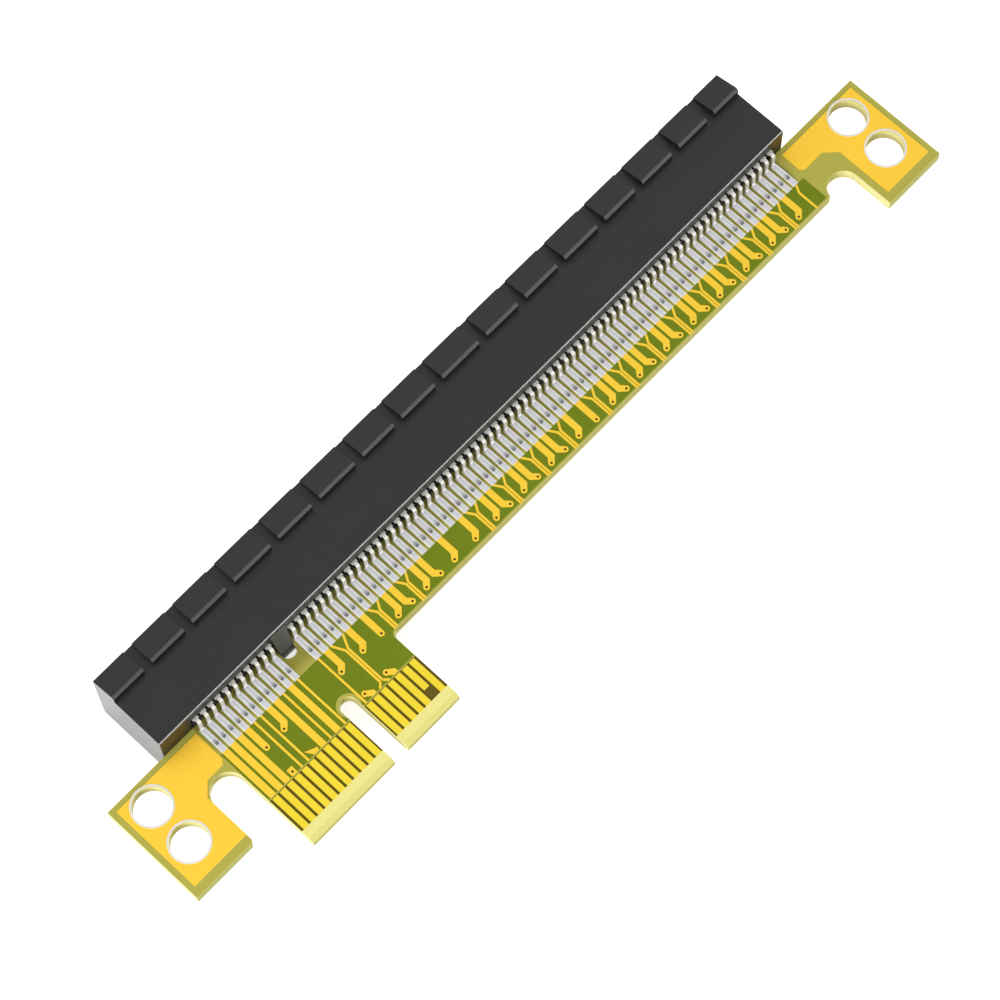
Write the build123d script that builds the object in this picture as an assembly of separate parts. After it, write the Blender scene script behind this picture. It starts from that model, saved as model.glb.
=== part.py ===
from build123d import *
import os

# A passive riser adapter: a one-lane card edge below, a sixteen-lane card slot above, one board between them.
# It lies on the rear face of its housing. +X runs along the contacts from pin 1, +Y from the card edge to the
# mouth of the slot, +Z out of the board's front. The origin is the middle of the footprint, on the bench.
# All sizes are millimetres.

# Contact layout, shared by the slot and the card edge
PITCH = 1.0
KEY_GAP = 3.0                  # from the last contact before the key to the first one after it
SHORT_BANK_COUNT = 11
LONG_BANK_COUNT = 71
EDGE_BANK_COUNT = 7            # fingers after the key on the one-lane card edge

# Circuit board, along X
BOARD_T = 1.57
EAR_W = 7.7
LEFT_NOTCH_W = 3.85            # between the left ear and the card edge
EDGE_SIDE = 0.65               # board beyond the centre of the outermost finger
NOTCH_BEYOND_LAST_PIN = 1.4
RIGHT_NOTCH_W = 3.7

# Circuit board, down from its top edge
CARD_HEIGHT = 16.6             # from the top edge to the tip of the card edge
STEP_DEPTH = 7.3               # to the lower edge of the strip beside the card edge
EAR_HEIGHT = 12.3
LEFT_NOTCH_DEPTH = 5.1
RIGHT_NOTCH_DEPTH = 5.85
STEP_FILLET = 0.9
EAR_CORNER = 0.25

# Mounting holes in the ears
HOLE_R = 2.0
HOLE_FROM_END = 3.4
UPPER_HOLE_DEPTH = 2.7
HOLE_SPACING = 5.15
FOIL = 0.05                    # plating and copper on the board

# Copper plane of each ear, with a foot beside the contacts
GROUND_END = 0.65              # in from the board's end
GROUND_TOP = 0.6               # in from the top edge
GROUND_BOTTOM = 0.95           # in from the ear's lower edge
LEFT_GROUND = {"inset": 0.0, "slope": 1.25, "above_notch": 0.35, "to_pin": 0.75, "corner": 0.45}
RIGHT_GROUND = {"inset": 0.75, "slope": 1.3, "above_notch": 2.45, "to_pin": 1.5, "corner": 0.4}

# Card edge, up from its tip
KEY_SLOT_W = 1.9
KEY_SLOT_LENGTH = 8.1
BEVEL_RUN = 0.6
BEVEL_DEPTH = 0.35
FINGER_W = 0.7
FINGER_L = 4.3
FINGER_FROM_TIP = 1.6
SHORT_FINGER_FROM_TIP = 2.85   # presence-detect finger
FRONT_SHORT_FINGER = 17
REAR_SHORT_FINGER = 1

# Peg of the housing and the notch that takes it
PEG_NOTCH_W = 1.8
PEG_NOTCH_DEPTH = 2.0
PEG_PLAY = 0.07
PEG_LENGTH = 1.05
PEG_ROOT_W = 2.1               # at the housing's faces; the peg narrows to the notch at the board
PEG_TIP_HALF = 0.25            # half of the peg's thickness at its tip
PEG_ROOT_INSET = 0.35          # from the housing's faces to the peg's root

# Slot housing
HOUSING_T = 9.6
HOUSING_HEIGHT = 9.2
HOUSING_BEFORE_PIN_1 = 4.5
HOUSING_BEYOND_LAST_PIN = 2.0
UNDERSIDE_CHAMFER = 0.15

# Contact: a strip of sheet metal, formed from a foot, a leg, a base and a spring beam
CONTACT_W = 0.4
CONTACT_T = 0.2
FOOT_L = 2.4
LEG_CLEARANCE = 0.55           # between the leg and the housing's underside
BASE_HALF = 2.85               # from the board's middle plane, like the next two
TOUCH_HALF = 0.55
TIP_HALF = 1.25
BASE_L = 1.85                  # up from the underside
TOUCH_DEPTH = 1.85             # down from the mouth, like the next one
TIP_DEPTH = 0.65

# Slot, for a card edge like the one below
CARD_PLAY = 0.23
CARD_END_PLAY = 0.18
KEY_PLAY = 0.1
SLOT_DEPTH = 7.7
LEAD_IN = 0.5

# Contact cavities, open to the slot, to the mouth and to the underside
CAVITY_SIDE_PLAY = 0.1
CAVITY_BACK_PLAY = 0.05
RECESS_DEPTH = 0.4
RECESS_MARGIN = 0.1
RECESS_BEYOND_PIN = 0.6

# Ribs along the mouth, on the front face only
RIB_WIDTHS = (4.1, 4.4, 4.6, 5.0, 4.6, 4.9, 4.4, 4.7, 5.2, 4.5, 4.6, 4.8, 4.4, 4.4, 4.1, 3.6)
RIB_HEIGHT = 3.0
RIB_RISE = 1.05
RIB_RISE_AT_MOUTH = 0.3
RIB_CHAMFER = 0.3

# Places along X
LAST_PIN = SHORT_BANK_COUNT + LONG_BANK_COUNT
PIN_SPAN = (LAST_PIN - 2) * PITCH + KEY_GAP
PIN_1_FROM_END = EAR_W + LEFT_NOTCH_W + EDGE_SIDE
BOARD_LENGTH = PIN_1_FROM_END + PIN_SPAN + NOTCH_BEYOND_LAST_PIN + RIGHT_NOTCH_W + EAR_W
BOARD_LEFT_X = -BOARD_LENGTH / 2
BOARD_RIGHT_X = BOARD_LENGTH / 2
LEFT_EAR_X = BOARD_LEFT_X + EAR_W
RIGHT_EAR_X = BOARD_RIGHT_X - EAR_W
PIN_1_X = BOARD_LEFT_X + PIN_1_FROM_END
KEY_X = PIN_1_X + (SHORT_BANK_COUNT - 1) * PITCH + KEY_GAP / 2
EDGE_LEFT_X = PIN_1_X - EDGE_SIDE
HOUSING_LENGTH = HOUSING_BEFORE_PIN_1 + PIN_SPAN + HOUSING_BEYOND_LAST_PIN
HOUSING_LEFT_X = PIN_1_X - HOUSING_BEFORE_PIN_1

# Places along Y
MOUTH_Y = (CARD_HEIGHT + HOUSING_HEIGHT) / 2
BOARD_TOP_Y = MOUTH_Y - HOUSING_HEIGHT
EDGE_TIP_Y = BOARD_TOP_Y - CARD_HEIGHT
STEP_Y = BOARD_TOP_Y - STEP_DEPTH
EAR_BOTTOM_Y = BOARD_TOP_Y - EAR_HEIGHT
LEFT_NOTCH_TOP_Y = BOARD_TOP_Y - LEFT_NOTCH_DEPTH
RIGHT_NOTCH_TOP_Y = BOARD_TOP_Y - RIGHT_NOTCH_DEPTH
FINGER_END_Y = EDGE_TIP_Y + FINGER_FROM_TIP
FINGER_TOP_Y = FINGER_END_Y + FINGER_L

# Places along Z
BOARD_MID_Z = HOUSING_T / 2
BOARD_FRONT_Z = BOARD_MID_Z + BOARD_T / 2
BOARD_REAR_Z = BOARD_MID_Z - BOARD_T / 2

# Fits
SLOT_W = BOARD_T + CARD_PLAY
KEY_BAR_W = KEY_SLOT_W - KEY_PLAY
CAVITY_W = CONTACT_W + 2 * CAVITY_SIDE_PLAY
CAVITY_HALF = BASE_HALF + CONTACT_T + CAVITY_BACK_PLAY


def pin_x(number):
    """X of a contact, counted from 1 across both banks."""
    if number <= SHORT_BANK_COUNT:
        return PIN_1_X + (number - 1) * PITCH
    return KEY_X + KEY_GAP / 2 + (number - SHORT_BANK_COUNT - 1) * PITCH


EDGE_RIGHT_X = pin_x(SHORT_BANK_COUNT + EDGE_BANK_COUNT) + EDGE_SIDE


def span(x0, x1, y0, y1):
    """A rectangle given by its sides, for the sketch in hand."""
    with Locations(((x0 + x1) / 2, (y0 + y1) / 2)):
        Rectangle(x1 - x0, y1 - y0)


def cut_notch(x, width, round_y, open_y):
    """A notch that is open at one end and half round at the other."""
    radius = width / 2
    centre_y = round_y - radius if open_y < round_y else round_y + radius
    with Locations((x, centre_y)):
        Circle(radius, mode=Mode.SUBTRACT)
    with Locations((x, (centre_y + open_y) / 2)):
        Rectangle(width, abs(centre_y - open_y), mode=Mode.SUBTRACT)


def hole_centres(side):
    """The two holes of an ear."""
    x = BOARD_LEFT_X + HOLE_FROM_END if side == "left" else BOARD_RIGHT_X - HOLE_FROM_END
    upper_y = BOARD_TOP_Y - UPPER_HOLE_DEPTH
    return [(x, upper_y), (x, upper_y - HOLE_SPACING)]


def circuit_board():
    with BuildPart() as board:
        with BuildSketch(Plane.XY.offset(BOARD_REAR_Z)) as outline:
            span(BOARD_LEFT_X, BOARD_RIGHT_X, STEP_Y, BOARD_TOP_Y)
            span(BOARD_LEFT_X, LEFT_EAR_X, EAR_BOTTOM_Y, STEP_Y)
            span(RIGHT_EAR_X, BOARD_RIGHT_X, EAR_BOTTOM_Y, STEP_Y)
            span(EDGE_LEFT_X, EDGE_RIGHT_X, EDGE_TIP_Y, STEP_Y)
            cut_notch(LEFT_EAR_X + LEFT_NOTCH_W / 2, LEFT_NOTCH_W, LEFT_NOTCH_TOP_Y, EDGE_TIP_Y)
            cut_notch(RIGHT_EAR_X - RIGHT_NOTCH_W / 2, RIGHT_NOTCH_W, RIGHT_NOTCH_TOP_Y, EAR_BOTTOM_Y)
            cut_notch(KEY_X, KEY_SLOT_W, EDGE_TIP_Y + KEY_SLOT_LENGTH, EDGE_TIP_Y)
            cut_notch(KEY_X, PEG_NOTCH_W, BOARD_TOP_Y - PEG_NOTCH_DEPTH, BOARD_TOP_Y)
            inner = outline.vertices().filter_by(lambda v: abs(v.X - EDGE_RIGHT_X) < 0.01)
            fillet(inner.sort_by(Axis.Y)[-1], STEP_FILLET)
            ear = outline.vertices().filter_by(lambda v: abs(v.X - LEFT_EAR_X) < 0.01)
            chamfer(ear.sort_by(Axis.Y)[0], EAR_CORNER)
            with Locations(*hole_centres("left"), *hole_centres("right")):
                Circle(HOLE_R, mode=Mode.SUBTRACT)
        extrude(amount=BOARD_T)
        tip = board.faces().filter_by(lambda f: abs(f.center().Y - EDGE_TIP_Y) < 0.01)
        long_edges = tip.edges().filter_by(Axis.X)
        for edge in long_edges:
            face = board.faces().filter_by(Axis.Z).sort_by(Axis.Z)[-1 if edge.center().Z > BOARD_MID_Z else 0]
            chamfer(edge, BEVEL_RUN, BEVEL_DEPTH, reference=face)
    return board.part


def rib_profile():
    """Section of a rib in YZ: a low riser, a chamfer and a face that falls towards the mouth."""
    bottom_y = MOUTH_Y - RIB_HEIGHT
    return Polyline(
        (bottom_y, HOUSING_T), (bottom_y, HOUSING_T + RIB_RISE - RIB_CHAMFER),
        (bottom_y + RIB_CHAMFER, HOUSING_T + RIB_RISE),
        (MOUTH_Y, HOUSING_T + RIB_RISE_AT_MOUTH), (MOUTH_Y, HOUSING_T), close=True)


def ribs():
    gap = (HOUSING_LENGTH - sum(RIB_WIDTHS)) / (len(RIB_WIDTHS) - 1)
    x = HOUSING_LEFT_X
    with BuildPart() as row:
        for width in RIB_WIDTHS:
            with BuildSketch(Plane.YZ.offset(x)):
                with BuildLine():
                    rib_profile()
                make_face()
            extrude(amount=width)
            x += width + gap
    return row.part


def peg():
    """Wedge below the underside. It narrows to the board's notch, where it ends as a thin tongue."""
    half_w = PEG_NOTCH_W / 2 - PEG_PLAY
    flare = PEG_ROOT_W / 2 - half_w
    tip_y = BOARD_TOP_Y - PEG_LENGTH
    with BuildPart() as wedge:
        with BuildSketch(Plane.YZ.offset(KEY_X - PEG_ROOT_W / 2)):
            with BuildLine():
                Polyline(
                    (BOARD_TOP_Y, PEG_ROOT_INSET), (BOARD_TOP_Y, HOUSING_T - PEG_ROOT_INSET),
                    (tip_y, BOARD_MID_Z + PEG_TIP_HALF), (tip_y, BOARD_MID_Z - PEG_TIP_HALF), close=True)
            make_face()
        extrude(amount=PEG_ROOT_W)
        with BuildSketch(Plane.XZ.offset(-BOARD_TOP_Y)):
            for side in (-1, 1):
                wall_x, root_x = KEY_X + side * half_w, KEY_X + side * (half_w + flare)
                with BuildLine():
                    Polyline(
                        (root_x, 0), (wall_x, BOARD_REAR_Z), (wall_x, BOARD_FRONT_Z), (root_x, HOUSING_T), close=True)
                make_face()
        extrude(amount=PEG_LENGTH, mode=Mode.SUBTRACT)
    return wedge.part


def slot_spaces():
    """The two lengths of the slot, each with a flared lead-in, on either side of the key bar."""
    left = pin_x(1) - EDGE_SIDE - CARD_END_PLAY
    right = pin_x(LAST_PIN) + EDGE_SIDE + CARD_END_PLAY
    mouth = Plane.XZ.offset(-MOUTH_Y)
    with BuildPart() as spaces:
        for x0, x1 in ((left, KEY_X - KEY_BAR_W / 2), (KEY_X + KEY_BAR_W / 2, right)):
            for beyond, depth, taper in ((0, SLOT_DEPTH, 0), (LEAD_IN, LEAD_IN, 45)):
                with BuildSketch(mouth):
                    with Locations(((x0 + x1) / 2, BOARD_MID_Z)):
                        Rectangle(x1 - x0 + beyond, SLOT_W + 2 * beyond)
                extrude(amount=depth, taper=taper)
    return spaces.part


def recess_spaces():
    """The shallow recess under each contact bank, where the contacts leave the housing."""
    with BuildPart() as spaces:
        for first, last in ((1, SHORT_BANK_COUNT), (SHORT_BANK_COUNT + 1, LAST_PIN)):
            x0, x1 = pin_x(first) - RECESS_BEYOND_PIN, pin_x(last) + RECESS_BEYOND_PIN
            with BuildSketch(Plane.XZ.offset(-BOARD_TOP_Y)):
                with Locations(((x0 + x1) / 2, BOARD_MID_Z)):
                    Rectangle(x1 - x0, 2 * (CAVITY_HALF + RECESS_MARGIN))
            extrude(amount=-RECESS_DEPTH)
    return spaces.part


def cavity_spaces():
    """The comb: one cavity for each contact, on both sides of the slot."""
    depth = CAVITY_HALF - SLOT_W / 2
    middle = (CAVITY_HALF + SLOT_W / 2) / 2
    places = [(pin_x(n), BOARD_MID_Z + side * middle) for n in range(1, LAST_PIN + 1) for side in (1, -1)]
    with BuildPart() as spaces:
        with BuildSketch(Plane.XZ.offset(-MOUTH_Y)):
            with Locations(*places):
                Rectangle(CAVITY_W, depth)
        extrude(amount=MOUTH_Y - BOARD_TOP_Y)
    return spaces.part


def slot_housing():
    with BuildPart() as body:
        with BuildSketch(Plane.YZ.offset(HOUSING_LEFT_X)) as section:
            with Locations(((BOARD_TOP_Y + MOUTH_Y) / 2, BOARD_MID_Z)):
                Rectangle(MOUTH_Y - BOARD_TOP_Y, HOUSING_T)
            chamfer(section.vertices().group_by(Axis.Y)[0], UNDERSIDE_CHAMFER)
        extrude(amount=HOUSING_LENGTH)
    return body.part + ribs() + peg() - slot_spaces() - recess_spaces() - cavity_spaces()


def contact():
    """One front contact at X = 0. The line is the face of the strip that looks at the board and the slot."""
    leg_y = BOARD_TOP_Y - LEG_CLEARANCE
    base_z = BOARD_MID_Z + BASE_HALF
    line = [
        (leg_y - FOOT_L, BOARD_FRONT_Z), (leg_y, BOARD_FRONT_Z), (leg_y, base_z),
        (BOARD_TOP_Y + BASE_L, base_z), (MOUTH_Y - TOUCH_DEPTH, BOARD_MID_Z + TOUCH_HALF),
        (MOUTH_Y - TIP_DEPTH, BOARD_MID_Z + TIP_HALF)]
    with BuildPart() as strip:
        with BuildSketch(Plane.YZ.offset(-CONTACT_W / 2)):
            with BuildLine():
                path = Polyline(*line)
                offset(path, amount=CONTACT_T, kind=Kind.INTERSECTION, side=Side.LEFT)
            make_face()
        extrude(amount=CONTACT_W)
    return strip.part


def contact_bank(numbers, front):
    shape = contact()
    if not front:
        shape = shape.mirror(Plane.XY.offset(BOARD_MID_Z))
    return Compound(children=[Pos(pin_x(n), 0, 0) * shape for n in numbers])


def foil_z(front):
    """Lower side of a copper layer on the front or the rear of the board."""
    return BOARD_FRONT_Z if front else BOARD_REAR_Z - FOIL


def fingers(numbers, front):
    short = FRONT_SHORT_FINGER if front else REAR_SHORT_FINGER
    solids = []
    for n in numbers:
        end_y = EDGE_TIP_Y + SHORT_FINGER_FROM_TIP if n == short else FINGER_END_Y
        finger = Box(FINGER_W, FINGER_TOP_Y - end_y, FOIL, align=(Align.CENTER, Align.MAX, Align.MIN))
        solids.append(Pos(pin_x(n), FINGER_TOP_Y, foil_z(front)) * finger)
    return Compound(children=solids)


def ground_outline(side):
    """Corners of an ear's copper plane, from the board's end round to the foot beside the contacts."""
    top_y = BOARD_TOP_Y - GROUND_TOP
    bottom_y = EAR_BOTTOM_Y + GROUND_BOTTOM
    if side == "left":
        form, inward = LEFT_GROUND, 1
        end_x, ear_x = BOARD_LEFT_X + GROUND_END, LEFT_EAR_X - form["inset"]
        foot_x, floor_y = PIN_1_X - form["to_pin"], LEFT_NOTCH_TOP_Y + form["above_notch"]
    else:
        form, inward = RIGHT_GROUND, -1
        end_x, ear_x = BOARD_RIGHT_X - GROUND_END, RIGHT_EAR_X + form["inset"]
        foot_x, floor_y = pin_x(LAST_PIN) + form["to_pin"], RIGHT_NOTCH_TOP_Y + form["above_notch"]
    slope, corner = form["slope"], form["corner"]
    return [
        (end_x, top_y), (end_x, bottom_y), (ear_x, bottom_y), (ear_x, floor_y - slope),
        (ear_x + inward * slope, floor_y), (foot_x - inward * corner, floor_y),
        (foot_x, floor_y + corner), (foot_x, top_y)]


def ear_ground(side, front):
    with BuildPart() as plane:
        with BuildSketch(Plane.XY.offset(foil_z(front))):
            with BuildLine():
                Polyline(*ground_outline(side), close=True)
            make_face()
            with Locations(*hole_centres(side)):
                Circle(HOLE_R, mode=Mode.SUBTRACT)
        extrude(amount=FOIL)
    return plane.part


def all_parts():
    short_bank = range(1, SHORT_BANK_COUNT + 1)
    long_bank = range(SHORT_BANK_COUNT + 1, LAST_PIN + 1)
    edge_bank = range(SHORT_BANK_COUNT + 1, SHORT_BANK_COUNT + EDGE_BANK_COUNT + 1)
    parts = {"circuit_board": circuit_board(), "slot_housing": slot_housing()}
    for face, front in (("front", True), ("rear", False)):
        parts[f"{face}_contacts_short"] = contact_bank(short_bank, front)
        parts[f"{face}_contacts_long"] = contact_bank(long_bank, front)
        parts[f"{face}_fingers_left"] = fingers(short_bank, front)
        parts[f"{face}_fingers_right"] = fingers(edge_bank, front)
        for side in ("left", "right"):
            parts[f"{face}_{side}_ground"] = ear_ground(side, front)
    return parts


os.makedirs("parts", exist_ok=True)
for name, shape in all_parts().items():
    export_step(shape, f"parts/{name}.step")
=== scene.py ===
import math

import bmesh
import bpy
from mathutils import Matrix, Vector


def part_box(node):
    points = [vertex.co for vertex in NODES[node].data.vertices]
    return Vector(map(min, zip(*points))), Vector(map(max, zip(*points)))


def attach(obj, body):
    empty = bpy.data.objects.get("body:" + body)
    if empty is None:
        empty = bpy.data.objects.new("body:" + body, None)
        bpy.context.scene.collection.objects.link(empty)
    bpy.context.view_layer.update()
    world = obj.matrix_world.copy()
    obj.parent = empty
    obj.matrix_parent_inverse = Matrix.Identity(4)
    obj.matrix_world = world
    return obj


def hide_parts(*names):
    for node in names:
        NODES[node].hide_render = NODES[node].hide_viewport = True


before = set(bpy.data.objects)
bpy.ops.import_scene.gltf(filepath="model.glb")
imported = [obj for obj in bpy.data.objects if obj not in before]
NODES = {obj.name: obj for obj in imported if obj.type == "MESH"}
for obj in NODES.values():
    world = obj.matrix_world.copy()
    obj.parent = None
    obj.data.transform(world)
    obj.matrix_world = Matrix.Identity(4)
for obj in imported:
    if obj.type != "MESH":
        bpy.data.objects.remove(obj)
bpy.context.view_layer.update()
MM = 0.001

# Contact layout, in millimetres as everything below
PITCH = 1.0
SHORT_BANK = 11
LONG_BANK = 71
board_low, board_high = (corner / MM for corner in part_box("circuit_board"))
short_low, _ = (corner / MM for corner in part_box("front_contacts_short"))
long_low, _ = (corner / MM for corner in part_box("front_contacts_long"))
housing_low, housing_high = (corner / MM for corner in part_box("slot_housing"))
CONTACT_W = 0.4
PIN_1_X = short_low.x + CONTACT_W / 2
PIN_12_X = long_low.x + CONTACT_W / 2

# Board
FRONT_Z = board_high.z
REAR_Z = board_low.z
MID_Z = (FRONT_Z + REAR_Z) / 2
TOP_Y = board_high.y
TIP_Y = board_low.y
FOOT_LINE_Y = TOP_Y - 3.9      # lower end of the tinned pads, where the green mask begins
STEP_Y = TOP_Y - 7.3
STEP_R = 0.9
TOE_Y = TOP_Y - 2.55             # middle of the fade to the painted shade on the toe of each contact
FINGER_TOP_Y = TIP_Y + 5.9
FINGER_END_Y = TIP_Y + 1.6
BEVEL_RUN = 0.6
EDGE_BREAK = 0.15              # softened lower front edge of the housing
HOLE_R = 2.0
HOLE_X = board_high.x - 3.4
HOLE_YS = (TOP_Y - 2.7, TOP_Y - 7.85)
KEY_X = (PIN_1_X + PIN_12_X + (SHORT_BANK - 1) * PITCH) / 2
KEY_SLOT_R = 0.95
RING_LINE_R = 2.09
RING_LINE_W = 0.04
KEY_SLOT_TOP_Y = TIP_Y + 8.1
EDGE_LEFT_X = PIN_1_X - 0.65
EDGE_RIGHT_X = PIN_12_X + 6 * PITCH + 0.65


def pin_x(number):
    """X of a contact, counted from 1 across both banks."""
    if number <= SHORT_BANK:
        return PIN_1_X + (number - 1) * PITCH
    return PIN_12_X + (number - SHORT_BANK - 1) * PITCH


LAST_PIN = SHORT_BANK + LONG_BANK


# Colours and finishes
BRUSHING_SCALE = (1500.0, 250.0, 1500.0)   # per metre: streaks run along Y


def colour(code):
    """Linear colour of a six-digit hex code."""
    levels = [int(code[i:i + 2], 16) / 255 for i in (0, 2, 4)]
    return tuple(c / 12.92 if c <= 0.04045 else ((c + 0.055) / 1.055) ** 2.4 for c in levels) + (1.0,)


class Number:
    """A number that changes over a surface. An expression on it adds its Math nodes."""

    def __init__(self, finish, socket):
        self.finish = finish
        self.socket = socket

    def math(self, operation, *values, clamp=False):
        node = self.finish.add("ShaderNodeMath", {"operation": operation, "use_clamp": clamp}, values)
        return Number(self.finish, node.outputs[0])

    def __add__(self, other):
        return self.math("ADD", self, other)

    def __sub__(self, other):
        return self.math("SUBTRACT", self, other)

    def __rsub__(self, other):
        return self.math("SUBTRACT", other, self)

    def __mul__(self, other):
        return self.math("MULTIPLY", self, other)

    __radd__ = __add__
    __rmul__ = __mul__

    def larger(self, other):
        return self.math("MAXIMUM", self, other)

    def magnitude(self):
        return self.math("ABSOLUTE", self)

    def over(self, edge, soft=0.02):
        """1 where the number is above the edge, 0 where it is below."""
        return self.math("MULTIPLY", self - (edge - soft / 2), 1 / soft, clamp=True)

    def between(self, low, high):
        return self.over(low) * (1 - self.over(high))


class Finish:
    """A material being made."""

    def __init__(self, name, base, rough, metal=0.0, specular=0.5):
        self.material = bpy.data.materials.new(name)
        self.material.use_nodes = True
        self.tree = self.material.node_tree
        self.surface = self.tree.nodes["Principled BSDF"]
        self.base = colour(base)
        self.surface.inputs["Base Color"].default_value = self.base
        self.surface.inputs["Roughness"].default_value = rough
        self.surface.inputs["Metallic"].default_value = metal
        self.surface.inputs["Specular IOR Level"].default_value = specular
        self.surface.inputs["Coat Roughness"].default_value = 0.1
        self.place = self.add("ShaderNodeTexCoord").outputs["Object"]

    def add(self, kind, settings=None, values=()):
        """One node: its settings first, then its sockets in order or by name."""
        node = self.tree.nodes.new(kind)
        for name, value in (settings or {}).items():
            setattr(node, name, value)
        pairs = values.items() if isinstance(values, dict) else enumerate(values)
        for key, value in pairs:
            if isinstance(value, Number):
                value = value.socket
            if isinstance(value, bpy.types.NodeSocket):
                self.tree.links.new(value, node.inputs[key])
            elif value is not None:
                node.inputs[key].default_value = value
        return node

    def axes(self):
        """X, Y and Z of the surface, in millimetres."""
        split = self.add("ShaderNodeSeparateXYZ", values=(self.place,))
        return [Number(self, output) * (1 / MM) for output in split.outputs]

    def normal(self):
        """X, Y and Z of the direction that the surface faces."""
        facing = self.add("ShaderNodeNewGeometry").outputs["True Normal"]
        split = self.add("ShaderNodeSeparateXYZ", values=(facing,))
        return [Number(self, output) for output in split.outputs]

    def noise(self, size, detail=2.0):
        """Cloudy numbers about 0, with grains of a size in millimetres."""
        sockets = {"Vector": self.place, "Scale": 1 / (size * MM), "Detail": detail}
        node = self.add("ShaderNodeTexNoise", values=sockets)
        return Number(self, node.outputs["Fac"]) - 0.5

    def mix(self, mask, first, second):
        """The first colour where the mask is 0, the second where it is 1."""
        node = self.add("ShaderNodeMix", {"data_type": "RGBA"}, {0: mask, 6: first, 7: second})
        return node.outputs[2]

    def feed(self, socket, value):
        output = value.socket if isinstance(value, Number) else value
        self.tree.links.new(output, self.surface.inputs[socket])

    def bump(self, height, depth):
        """Relief of a depth in millimetres where the height goes from 0 to 1."""
        node = self.add("ShaderNodeBump", values={"Height": height, "Distance": depth * MM})
        self.feed("Normal", node.outputs["Normal"])


def shaded(finish, amount, size=6.0):
    """Slight clouding of the base colour."""
    dark = tuple(c * (1 - amount) for c in finish.base[:3]) + (1.0,)
    light = tuple(min(1.0, c * (1 + amount)) for c in finish.base[:3]) + (1.0,)
    finish.feed("Base Color", finish.mix(finish.noise(size) + 0.5, dark, light))
    return finish


def board_finish():
    """Glass-epoxy board: green mask, khaki margins, dark field between the fingers, pale tip."""
    finish = Finish("board_laminate", "B0AA4B", 0.42, specular=0.15)
    x, y, z = finish.axes()
    across, along, normal_z = finish.normal()
    is_face = normal_z.magnitude().over(0.4)
    right_of_edge = x.over(EDGE_LEFT_X + 0.05)
    strip = right_of_edge * (1 - x.over(pin_x(LAST_PIN) + 1.1)) * y.between(STEP_Y + 0.17, FOOT_LINE_Y)
    tongue = right_of_edge * (1 - x.over(EDGE_RIGHT_X - 0.05)) * y.between(FINGER_TOP_Y + 0.22, FOOT_LINE_Y)
    key_x, key_y = x - KEY_X, y - (KEY_SLOT_TOP_Y - KEY_SLOT_R)
    off_key = (key_x * key_x + key_y * key_y).over((KEY_SLOT_R + 0.32) ** 2)
    corner_x, corner_y = x - (EDGE_RIGHT_X + STEP_R), y - (STEP_Y - STEP_R)
    off_step = (corner_x * corner_x + corner_y * corner_y).over((STEP_R + 0.17) ** 2)
    corner = x.between(EDGE_RIGHT_X - 0.1, EDGE_RIGHT_X + STEP_R) * y.between(STEP_Y - STEP_R, STEP_Y + 0.2)
    mask = strip.larger(tongue).larger(corner * off_step) * off_key
    finger_field = x.between(EDGE_LEFT_X, EDGE_RIGHT_X) * y.between(FINGER_END_Y, FINGER_TOP_Y + 0.07)
    tip = 1 - y.over(FINGER_END_Y)
    bevel = 1 - y.over(TIP_Y + BEVEL_RUN)
    cloud = finish.noise(3.0)
    khaki = finish.mix(cloud + 0.5, colour("ACA648"), colour("B5AF50"))
    # painted shade: the khaki between the pads darkens towards the housing, under the contacts
    painted_shade_near_housing = y.over(FOOT_LINE_Y + 0.6, 1.2) * x.between(PIN_1_X - 0.6, pin_x(LAST_PIN) + 0.6)
    khaki = finish.mix(painted_shade_near_housing, khaki, colour("918B3A"))
    face = finish.mix(mask, khaki, finish.mix(cloud + 0.5, colour("687A08"), colour("738212")))
    face = finish.mix(finger_field, face, colour("5F5212"))
    face = finish.mix(tip, face, colour("EBE48E"))
    face = finish.mix(bevel, face, colour("D6CE7C"))
    # painted light and shade: edge faces across X are pale, edge faces across Y darker, by how they face
    # the lamps
    edge_light_by_facing = finish.mix(across.magnitude().over(0.5, 0.8), colour("A8A24E"), colour("F0EAA0"))
    side = finish.mix(z.between(REAR_Z + 0.12, FRONT_Z - 0.12), colour("C2BC66"), edge_light_by_facing)
    finish.feed("Base Color", finish.mix(is_face, side, face))
    finish.feed("Roughness", 0.42 - mask * 0.12 + cloud * 0.08)
    return finish


def housing_finish():
    """Moulded black plastic: a fine grain on the long faces, smooth ends, a smooth lower edge with a
    painted highlight, and painted light on the peg.
    """
    finish = Finish("housing_plastic", "0C0C0C", 0.4)
    x, y, z = finish.axes()
    across, along, normal_z = finish.normal()
    grain = finish.noise(0.16, 3.0)
    lower_edge_highlight = normal_z.over(0.9) * (1 - y.over(TOP_Y + EDGE_BREAK))
    # the front face falls away over the last stretch above its lower edge
    rounding = y.over(TOP_Y + EDGE_BREAK / 2, EDGE_BREAK)
    black = finish.mix(finish.noise(9.0) + 0.5, colour("080808"), colour("0F0F0F"))
    # painted light: the peg below the underside gets a paler grey base
    black = finish.mix(y.over(TOP_Y - 0.02), colour("484848"), black)
    # painted highlight: a pale grey stripe along the lower front edge
    finish.feed("Base Color", finish.mix(lower_edge_highlight, black, colour("7C7C7C")))
    finish.feed("Roughness", grain * 0.12 + 0.42 - lower_edge_highlight * 0.3)
    finish.feed("Coat Weight", across.magnitude().over(0.9) * 0.85)
    finish.bump(rounding + grain * (0.003 / EDGE_BREAK), EDGE_BREAK)
    return finish


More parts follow.
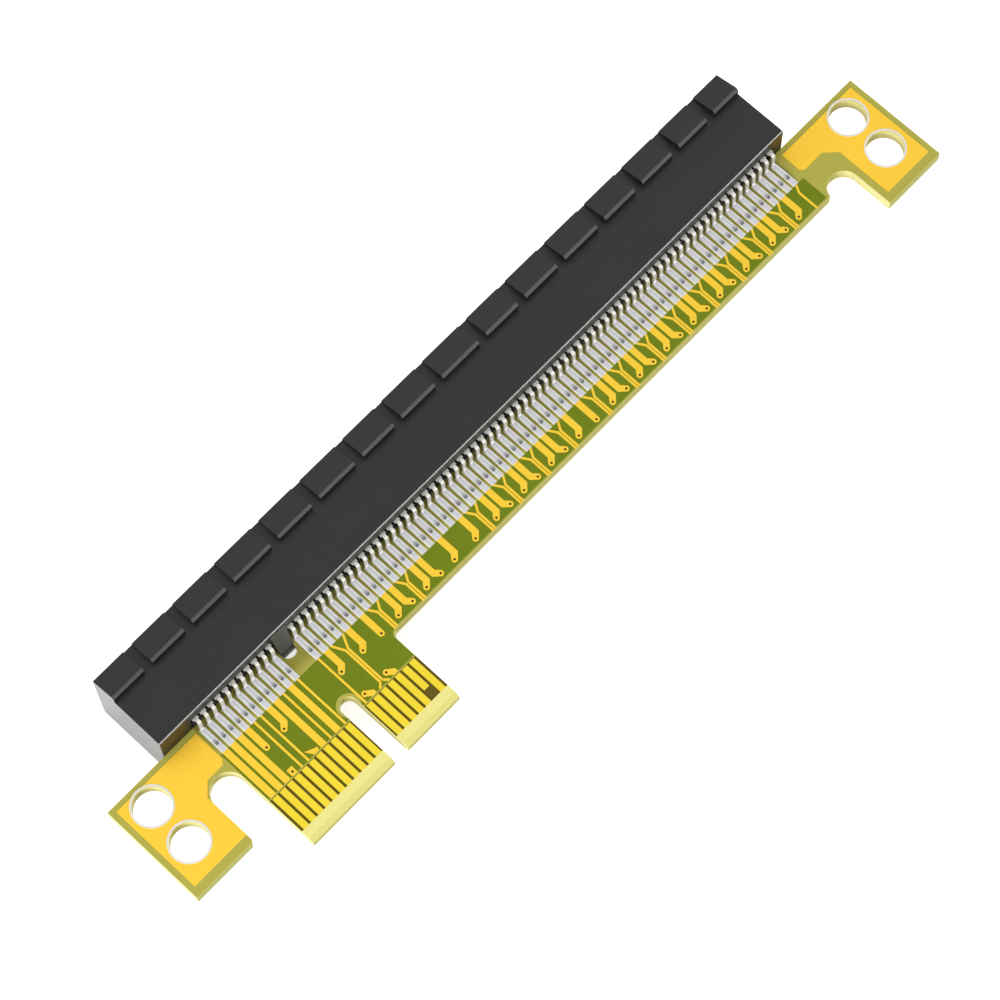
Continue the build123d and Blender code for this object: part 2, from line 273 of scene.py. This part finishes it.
def brushed(name, base, rough, metal, specular=0.5):
    """Metal with faint brushing along the board."""
    finish = Finish(name, base, rough, metal, specular)
    place = {"Vector": finish.place, "Scale": BRUSHING_SCALE}
    streak = finish.add("ShaderNodeMapping", values=place).outputs[0]
    node = finish.add("ShaderNodeTexNoise", values={"Vector": streak, "Scale": 1.0, "Detail": 2.0})
    brushing = Number(finish, node.outputs["Fac"]) - 0.5
    finish.feed("Roughness", brushing * 0.05 + rough)
    return finish


def plated_finish(name, base, rough, metal, specular=0.5):
    """Brushed plating of one colour."""
    return shaded(brushed(name, base, rough, metal, specular), 0.035)


def off_contact(x):
    """Distance along X from the middle of the nearest contact, in millimetres."""
    shifted = x - (PIN_1_X - PITCH / 2)
    return (shifted.math("FRACT", shifted) - 0.5).magnitude()


def pad_finish():
    """Tin, greyer in the middle of a pad, with a painted highlight along its rims."""
    finish = brushed("tinned_pad", "E2E2E4", 0.42, 0.55)
    x, y, z = finish.axes()
    # painted highlight: pale rims along the sides of each pad
    painted_rim_highlight = off_contact(x).over(0.26, 0.08)
    finish.feed("Base Color", finish.mix(painted_rim_highlight, colour("CFCFD2"), colour("F1F1F2")))
    return finish


def ring_finish():
    """Tin with a fine grey line round the middle of each ring."""
    finish = brushed("tinned_ring", "EAEAE6", 0.42, 0.4)
    x, y, z = finish.axes()
    across = x.magnitude() - HOLE_X
    squares = [across * across + (y - centre) * (y - centre) for centre in HOLE_YS]
    lines = [square.between(RING_LINE_R ** 2, (RING_LINE_R + RING_LINE_W) ** 2) for square in squares]
    finish.feed("Base Color", finish.mix(lines[0].larger(lines[1]), colour("EAEAE6"), colour("A9A89C")))
    return finish


def contact_finish():
    """Tinned sheet metal: painted shade on the toe, a bright foot with painted highlights along its edges,
    and a satin base under the housing.
    """
    finish = brushed("bright_tin", "B8B8BA", 0.3, 1.0)
    x, y, z = finish.axes()
    # painted shade: the toe of each contact is darkened
    painted_shade_toe = 1 - y.over(TOE_Y, 0.7)
    satin = y.over(TOP_Y - 0.8, 0.2)
    # painted highlight: pale strips along the edges of the foot
    foot_with_edge_highlight = finish.mix(off_contact(x).over(0.13, 0.08), colour("C6C6C9"), colour("EEEEF0"))
    tin = finish.mix(satin, foot_with_edge_highlight, colour("D4D4CC"))
    finish.feed("Base Color", finish.mix(painted_shade_toe, tin, colour("6C6C6C")))
    finish.feed("Metallic", 1 - satin * 0.85)
    return finish


BOARD = board_finish()
HOUSING = housing_finish()
GOLD = plated_finish("gold_fingers", "EFD535", 0.32, 0.35, 0.2)
COPPER = plated_finish("bare_copper", "FACB3E", 0.4, 0.25, 0.15)
TRACE = plated_finish("copper_trace", "F7CC3C", 0.4, 0.2, 0.15)
TIN = contact_finish()
PAD = pad_finish()
RING = ring_finish()
# painted shade: a near-black colour stands in for the depth of each via hole
VIA_HOLE_SHADE = shaded(Finish("via_hole_shade", "0E0B06", 0.6, specular=0.2), 0.2, 0.1)


# Modelling by hand
def in_edit(obj):
    """Opens one piece for editing."""
    bpy.ops.object.select_all(action="DESELECT")
    obj.select_set(True)
    bpy.context.view_layer.objects.active = obj
    bpy.ops.object.mode_set(mode="EDIT")


def out_of_edit():
    bpy.ops.object.mode_set(mode="OBJECT")


def pick(kind, test):
    """Selects the vertices, edges or faces whose middle, in millimetres, passes the test."""
    mesh = bpy.context.edit_object.data
    graph = bmesh.from_edit_mesh(mesh)
    graph.select_mode = {kind}
    for part in list(graph.verts) + list(graph.edges) + list(graph.faces):
        part.select_set(False)
    parts = {"VERT": graph.verts, "EDGE": graph.edges, "FACE": graph.faces}[kind]
    for part in parts:
        corners = [part] if kind == "VERT" else part.verts
        middle = sum((corner.co for corner in corners), Vector()) / len(corners) / MM
        if test(part, middle):
            part.select_set(True)
    graph.select_flush_mode()
    bmesh.update_edit_mesh(mesh)


def extrude(x=0.0, y=0.0, z=0.0):
    bpy.ops.mesh.extrude_region_move(TRANSFORM_OT_translate={"value": (x * MM, y * MM, z * MM)})


def settle(obj):
    """Puts a piece's place into its mesh."""
    bpy.ops.object.select_all(action="DESELECT")
    obj.select_set(True)
    bpy.context.view_layer.objects.active = obj
    bpy.ops.object.transform_apply(location=True, rotation=True, scale=True)


def finished(name, finish):
    """Names the primitive that was just added and gives it its finish."""
    obj = bpy.context.active_object
    obj.name = name
    obj.data.name = name
    obj.data.materials.append(finish.material)
    return obj


def plane(name, finish, centre, width, height, turned=False):
    """A flat rectangle: across X and Y, or standing across Z and Y where it is turned."""
    bpy.ops.object.select_all(action="DESELECT")
    angle = (0, math.pi / 2, 0) if turned else (0, 0, 0)
    bpy.ops.mesh.primitive_plane_add(size=1, location=[c * MM for c in centre], rotation=angle)
    obj = finished(name, finish)
    obj.scale = (width * MM, height * MM, 1)
    settle(obj)
    return obj


def modifier(obj, kind, **settings):
    """Adds a modifier and applies it."""
    bpy.ops.object.select_all(action="DESELECT")
    obj.select_set(True)
    bpy.context.view_layer.objects.active = obj
    made = obj.modifiers.new(kind.lower(), kind)
    for name, value in settings.items():
        setattr(made, name, value)
    bpy.ops.object.modifier_apply(modifier=made.name)
    return obj


def face_outwards(obj):
    in_edit(obj)
    bpy.ops.mesh.select_all(action="SELECT")
    bpy.ops.mesh.remove_doubles(threshold=0.001 * MM)
    bpy.ops.mesh.normals_make_consistent(inside=False)
    out_of_edit()
    return obj


def copy_at(obj, x=0.0, y=0.0):
    """A copy with its own mesh, moved along the board."""
    twin = obj.copy()
    twin.data = obj.data.copy()
    bpy.context.scene.collection.objects.link(twin)
    twin.location = (x * MM, y * MM, 0)
    settle(twin)
    return twin


def row(obj, count):
    """Repeats a piece along the contact row."""
    return modifier(obj, "ARRAY", count=count, use_relative_offset=False, use_constant_offset=True,
                    constant_offset_displace=(PITCH * MM, 0, 0))


def joined(name, parts):
    bpy.ops.object.select_all(action="DESELECT")
    for part in parts:
        part.select_set(True)
    bpy.context.view_layer.objects.active = parts[0]
    if len(parts) > 1:
        bpy.ops.object.join()
    parts[0].name = name
    parts[0].data.name = name
    return parts[0]


def on_rear(obj, name):
    """The same piece on the rear of the board, mirrored about the board's middle plane."""
    twin = obj.copy()
    twin.data = obj.data.copy()
    bpy.context.scene.collection.objects.link(twin)
    twin.name = name
    twin.scale = (1, 1, -1)
    twin.location = (0, 0, 2 * MID_Z * MM)
    settle(twin)
    return face_outwards(twin)


def drop(*objects):
    for obj in objects:
        bpy.data.objects.remove(obj)


# Contacts: sheet metal with a foot, a leg, shouldered base and spring beam
CONTACT_T = 0.2
SHOULDER_W = 0.7
LEG_Y = TOP_Y - 0.55
BASE_Z = MID_Z + 2.85
BASE_TOP_Y = TOP_Y + 1.85
SHOULDER_LOW_Y = TOP_Y - 0.2
SHOULDER_TOP_Y = TOP_Y + 0.15
FOOT_L = 2.4


def contact():
    """One front contact at X = 0. The sheet is the side that looks at the board and the slot."""
    foot_y = LEG_Y - FOOT_L
    strip = plane("contact", TIN, (0, LEG_Y - FOOT_L / 2, FRONT_Z), CONTACT_W, FOOT_L)
    in_edit(strip)
    pick("EDGE", lambda edge, at: abs(at.y - LEG_Y) < 0.01)
    moves = [
        (0, BASE_Z - FRONT_Z), (SHOULDER_LOW_Y - LEG_Y, 0), (SHOULDER_TOP_Y - SHOULDER_LOW_Y, 0),
        (BASE_TOP_Y - SHOULDER_TOP_Y, 0),
        (housing_high.y - 1.85 - BASE_TOP_Y, MID_Z + 0.55 - BASE_Z), (1.2, 0.7)]
    for y, z in moves:
        extrude(y=y, z=z)
    for side in (-1, 1):
        side_x = side * CONTACT_W / 2
        pick("EDGE", lambda edge, at: abs(at.x - side_x) < 0.01 and SHOULDER_LOW_Y < at.y < SHOULDER_TOP_Y)
        extrude(x=side * (SHOULDER_W - CONTACT_W) / 2)
    bends = (LEG_Y, FRONT_Z), (LEG_Y, BASE_Z)
    for y, z in bends:
        pick("EDGE", lambda edge, at: abs(at.x) < 0.01 and abs(at.y - y) < 0.01 and abs(at.z - z) < 0.01)
        bpy.ops.mesh.bevel(offset=0.3 * MM, offset_type="OFFSET", segments=4, affect="EDGES")
    out_of_edit()
    modifier(strip, "SOLIDIFY", thickness=CONTACT_T * MM, offset=1, use_even_offset=True)
    face_outwards(strip)
    in_edit(strip)
    pick("EDGE", lambda edge, at: abs(at.y - foot_y) < 0.01 and abs(at.x) > CONTACT_W / 2 - 0.01)
    bpy.ops.mesh.bevel(offset=0.16 * MM, segments=3, affect="EDGES")
    out_of_edit()
    return strip


def smoothed(obj, angle=40):
    bpy.ops.object.select_all(action="DESELECT")
    obj.select_set(True)
    bpy.context.view_layer.objects.active = obj
    bpy.ops.object.shade_smooth_by_angle(angle=math.radians(angle))
    return obj


def contact_banks():
    model = contact()
    for name, first, count in (("short", 1, SHORT_BANK), ("long", SHORT_BANK + 1, LONG_BANK)):
        front = smoothed(row(copy_at(model, x=pin_x(first)), count))
        front.name = f"contacts_{name}_front"
        rear = smoothed(on_rear(front, f"contacts_{name}_rear"))
        for obj, face in ((front, "front"), (rear, "rear")):
            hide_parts(f"{face}_contacts_{name}")
            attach(obj, "root")
    drop(model)


# Tinned pads under the feet
PAD_W = 0.68
PAD_TOP_Y = TOP_Y - 0.65
PAD_T = 0.05


def pad():
    """A pad with a low crown of tin."""
    obj = plane("pad", PAD, (0, (FOOT_LINE_Y + PAD_TOP_Y) / 2, FRONT_Z), PAD_W, PAD_TOP_Y - FOOT_LINE_Y)
    in_edit(obj)
    bpy.ops.mesh.select_all(action="SELECT")
    extrude(z=PAD_T)
    bpy.ops.mesh.inset(thickness=0.09 * MM, depth=0.03 * MM)
    out_of_edit()
    return close_under(obj)


def close_under(obj):
    """Closes the flat underside that an extruded plane leaves open."""
    in_edit(obj)
    bpy.ops.mesh.select_all(action="DESELECT")
    bpy.ops.mesh.select_non_manifold()
    bpy.ops.mesh.edge_face_add()
    out_of_edit()
    return face_outwards(obj)


def pads():
    model = pad()
    places = ((PIN_1_X, SHORT_BANK), (PIN_12_X, LONG_BANK))
    banks = [row(copy_at(model, x=first_x), count) for first_x, count in places]
    front = joined("pads_front", banks)
    rear = on_rear(front, "pads_rear")
    drop(model)
    for obj in (front, rear):
        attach(obj, "root")


# Copper traces and vias
TRACE_T = 0.03
WIDE = 0.7
TO_FINGER = 0.73               # trace that runs on at about the width of its finger
THIN = 0.25
PAIR_HALF = 0.16               # from the middle of a pair to each of its traces
VIA_R = 0.34
VIA_HOLE_R = 0.13
VIA_PROUD = 0.006              # land above its trace
VIA_DIMPLE = 0.004             # the hole ends above the trace that runs under it
EDGE_Y = STEP_Y + 0.02
FINGER_LINE_Y = FINGER_TOP_Y + 0.2


def trace(width, start, *moves):
    """A trace: a standing wall that is drawn along its route and then thickened to its width."""
    first, rest = moves[0], moves[1:]
    middle = (start[0], start[1] + first[1] / 2, FRONT_Z + TRACE_T / 2)
    wall = plane("trace", TRACE, middle, TRACE_T, abs(first[1]), True)
    in_edit(wall)
    if first[0]:
        pick("VERT", lambda vert, at: (at.y - start[1]) / first[1] > 0.5)
        bpy.ops.transform.translate(value=(first[0] * MM, 0, 0))
    pick("EDGE", lambda edge, at: abs(at.y - start[1] - first[1]) < 0.001)
    for x, y in rest:
        extrude(x=x, y=y)
    out_of_edit()
    modifier(wall, "SOLIDIFY", thickness=width * MM, offset=0, use_even_offset=True)
    return face_outwards(wall)


def via(x, y):
    """A round land, just proud of its trace, with a shallow dimple in its middle painted dark as the shade
    of a drilled hole.
    """
    bpy.ops.object.select_all(action="DESELECT")
    depth = TRACE_T + VIA_PROUD
    place = (x * MM, y * MM, (FRONT_Z + depth / 2) * MM)
    bpy.ops.mesh.primitive_cylinder_add(vertices=24, radius=VIA_R * MM, depth=depth * MM, location=place)
    obj = finished("via", TRACE)
    obj.data.materials.append(VIA_HOLE_SHADE.material)
    settle(obj)
    in_edit(obj)
    pick("FACE", lambda face, at: face.normal.z > 0.9)
    bpy.ops.mesh.inset(thickness=(VIA_R - VIA_HOLE_R) * MM)
    obj.active_material_index = 1
    bpy.ops.object.material_slot_assign()
    extrude(z=-VIA_DIMPLE)
    bpy.ops.object.material_slot_assign()
    out_of_edit()
    return obj


def bent_to_via(side):
    """A wide trace that turns by 45 degrees to a via on one side."""
    turn_y, via_y = -2.1, FOOT_LINE_Y - 2.62
    return [trace(WIDE, (0, FOOT_LINE_Y), (0, turn_y), (side * 0.42, -0.42)), via(side * 0.5, via_y)]


def straight_to_via():
    return [trace(WIDE, (0, FOOT_LINE_Y), (0, -2.65)), via(0, FOOT_LINE_Y - 2.7)]


def pair_to_edge(merge_y, end_y, spread=0.7):
    """Two thin traces that close up and run on side by side. X = 0 is the middle of the pair."""
    parts = []
    for side in (-1, 1):
        route = [(-side * (spread - PAIR_HALF), merge_y - FOOT_LINE_Y), (0, end_y - merge_y)]
        parts.append(trace(THIN, (side * spread, FOOT_LINE_Y), *route))
    return parts


def straight(width, end_y):
    return [trace(width, (0, FOOT_LINE_Y), (0, end_y - FOOT_LINE_Y))]


def stub_above_finger(lean):
    """A short land that leaves the finger and ends at its own via."""
    land = trace(WIDE * 0.9, (0.05, FINGER_LINE_Y + 0.02), (0, 0.25), (lean, 0.35))
    return [land, via(lean * 1.25, FINGER_LINE_Y + 0.75)]


def wedge_stub():
    """A land that leaves its finger on a slant and tapers to a point."""
    obj = plane("wedge", TRACE, (0, FINGER_LINE_Y + 0.2, FRONT_Z), 0.6, 0.4)
    in_edit(obj)
    pick("VERT", lambda vert, at: at.x < 0 and at.y > FINGER_LINE_Y + 0.2)
    bpy.ops.transform.translate(value=(-0.55 * MM, 0.5 * MM, 0))
    pick("VERT", lambda vert, at: at.x > 0 and at.y > FINGER_LINE_Y + 0.2)
    bpy.ops.transform.translate(value=(0.15 * MM, -0.05 * MM, 0))
    bpy.ops.mesh.select_all(action="SELECT")
    extrude(z=TRACE_T)
    out_of_edit()
    return close_under(obj)


def split_pair():
    """The pair that runs on to two fingers of the card edge."""
    split_y = FINGER_LINE_Y + 0.5
    parts = pair_to_edge(FOOT_LINE_Y - 1.4, split_y, 0.85)
    for side in (-1, 1):
        parts.append(trace(THIN, (side * PAIR_HALF, split_y), (side * 0.5, -0.5)))
    return parts


def artwork():
    """Every trace of one face, each form laid at its own contacts."""
    to_finger = {
        TO_FINGER: ((1, 2, 3, 8, 10), ()),
        THIN: ((5, 9, 11), (6, 12))}       # the second ones run beside a via and keep clear of it
    via_left = (7, 13, 16, 21, 25, 29, 32, 35, 39, 43, 47, 52, 56, 60, 64, 68, 72, 76, 80)
    via_right = (22, 26, 36, 40, 44, 53, 57, 61, 65, 69, 73, 77)
    via_below = (4, 18, 49)
    pairs = (19, 23, 33, 37, 41, 45, 50, 54, 58, 62, 66, 70, 74, 78)
    laid = []

    def lay(parts, numbers, shift=0.0):
        model = joined("form", parts)
        laid.extend(copy_at(model, x=pin_x(number) + shift) for number in numbers)
        drop(model)

    for width, (central, beside_via) in to_finger.items():
        lay(straight(width, FINGER_LINE_Y), central)
        lay(straight(width, FINGER_LINE_Y), beside_via, -0.12)
    lay(bent_to_via(-1), via_left)
    lay(bent_to_via(1), via_right)
    lay(straight_to_via(), via_below)
    lay(pair_to_edge(FOOT_LINE_Y - 0.9, EDGE_Y), pairs, PITCH / 2)
    lay(split_pair(), (14,), PITCH / 2)
    lay([trace(THIN, (0, FOOT_LINE_Y), (-0.45, -0.85), (0, EDGE_Y - FOOT_LINE_Y + 0.85))], (LAST_PIN,))
    lay(stub_above_finger(-0.45), (13, 16))
    lay([trace(WIDE, (0, FINGER_LINE_Y), (0, 0.85)), via(0, FINGER_LINE_Y + 0.36)], (4,))
    lay([wedge_stub()], (7,))
    front = joined("traces_front", laid)
    return front, on_rear(front, "traces_rear")


RING_IN_R = HOLE_R + 0.005
RING_OUT_R = HOLE_R + 0.21
RING_T = 0.09


def hole_rings():
    """The tinned ring round each ear hole, on both faces."""
    for face, z in (("front", FRONT_Z), ("rear", REAR_Z)):
        outward = 1 if face == "front" else -1
        for side, x in (("left", -HOLE_X), ("right", HOLE_X)):
            for level, y in zip(("upper", "lower"), HOLE_YS):
                bpy.ops.object.select_all(action="DESELECT")
                place = (x * MM, y * MM, z * MM)
                bpy.ops.mesh.primitive_circle_add(vertices=96, radius=RING_IN_R * MM, location=place)
                obj = finished(f"ring_{side}_{level}_{face}", RING)
                settle(obj)
                in_edit(obj)
                bpy.ops.mesh.select_all(action="SELECT")
                bpy.ops.mesh.extrude_region_move()
                ring_scale = RING_OUT_R / RING_IN_R
                bpy.ops.transform.resize(value=(ring_scale, ring_scale, 1), center_override=place)
                bpy.ops.mesh.select_all(action="SELECT")
                bpy.ops.mesh.normals_make_consistent(inside=False)
                out_of_edit()
                modifier(obj, "SOLIDIFY", thickness=RING_T * MM, offset=outward * 1.0)
                face_outwards(obj)
                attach(obj, "root")


def dress_cad_nodes():
    """Finishes of the nodes whose form is already right."""
    finishes = {"circuit_board": BOARD, "slot_housing": HOUSING}
    for face in ("front", "rear"):
        for side in ("left", "right"):
            finishes[f"{face}_fingers_{side}"] = GOLD
            finishes[f"{face}_{side}_ground"] = COPPER
    for name, finish in finishes.items():
        NODES[name].data.materials.clear()
        NODES[name].data.materials.append(finish.material)


def studio():
    """Pale floor, white surroundings and two soft lamps."""
    world = bpy.data.worlds.new("studio")
    bpy.context.scene.world = world
    world.use_nodes = True
    tree = world.node_tree
    background = tree.nodes["Background"]
    path = tree.nodes.new("ShaderNodeLightPath")
    seen = tree.nodes.new("ShaderNodeMath")
    seen.operation = "MAXIMUM"
    tree.links.new(path.outputs["Is Camera Ray"], seen.inputs[0])
    tree.links.new(path.outputs["Is Glossy Ray"], seen.inputs[1])
    strength = tree.nodes.new("ShaderNodeMapRange")
    strength.inputs["To Min"].default_value = 0.55
    strength.inputs["To Max"].default_value = 1.0
    tree.links.new(seen.outputs[0], strength.inputs["Value"])
    tree.links.new(strength.outputs[0], background.inputs["Strength"])
    background.inputs["Color"].default_value = (1, 1, 1, 1)

    bpy.ops.object.select_all(action="DESELECT")
    bpy.ops.mesh.primitive_plane_add(size=3.0, location=(0, 0, -0.00002))
    paper = Finish("paper_floor", "F4F4F4", 0.9, specular=0.0)
    paper.surface.inputs["Emission Color"].default_value = (1, 1, 1, 1)
    path = paper.add("ShaderNodeLightPath")
    seen, mirrored = (Number(paper, path.outputs[name]) for name in ("Is Camera Ray", "Is Glossy Ray"))
    glow = seen * 0.65 + mirrored * 0.2
    paper.tree.links.new(glow.socket, paper.surface.inputs["Emission Strength"])
    floor = finished("floor", paper)

    overhead = lamp("overhead", (-0.03, 0.08, 0.52), 0.6, 0.6, 1.0)
    overhead.visible_glossy = False
    lamp("low_left", (-0.42, -0.06, 0.12), 0.3, 0.12, 1.1)
    lamp("low_front", (0.105, -0.4, 0.115), 0.34, 0.11, 0.7)


def lamp(name, place, width, height, watts):
    data = bpy.data.lights.new(name, "AREA")
    data.shape = "RECTANGLE"
    data.size = width
    data.size_y = height
    data.energy = watts
    obj = bpy.data.objects.new(name, data)
    bpy.context.scene.collection.objects.link(obj)
    obj.location = place
    obj.rotation_euler = (-Vector(place)).to_track_quat("-Z", "Y").to_euler()
    return obj


def camera():
    """The photograph's view, in the part's own frame."""
    eye = Vector((-90.965, -89.898, 337.225)) * MM
    forward = Vector((0.24385, 0.24905, -0.93736)).normalized()
    up = Vector((0.68354, 0.6415, 0.34819))
    right = forward.cross(up).normalized()
    up = right.cross(forward)
    data = bpy.data.cameras.new("camera")
    data.sensor_width = 36
    data.lens = 128.0
    data.clip_start = 0.01
    obj = bpy.data.objects.new("camera", data)
    bpy.context.scene.collection.objects.link(obj)
    matrix = obj.matrix_world.copy()
    for i, axis in enumerate((right, up, -forward)):
        for j in range(3):
            matrix[j][i] = axis[j]
    for j in range(3):
        matrix[j][3] = eye[j]
    obj.matrix_world = matrix
    bpy.context.scene.camera = obj


dress_cad_nodes()
contact_banks()
pads()
for piece in artwork():
    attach(piece, "root")
hole_rings()
studio()
camera()
bpy.context.scene.view_settings.view_transform = "Standard"
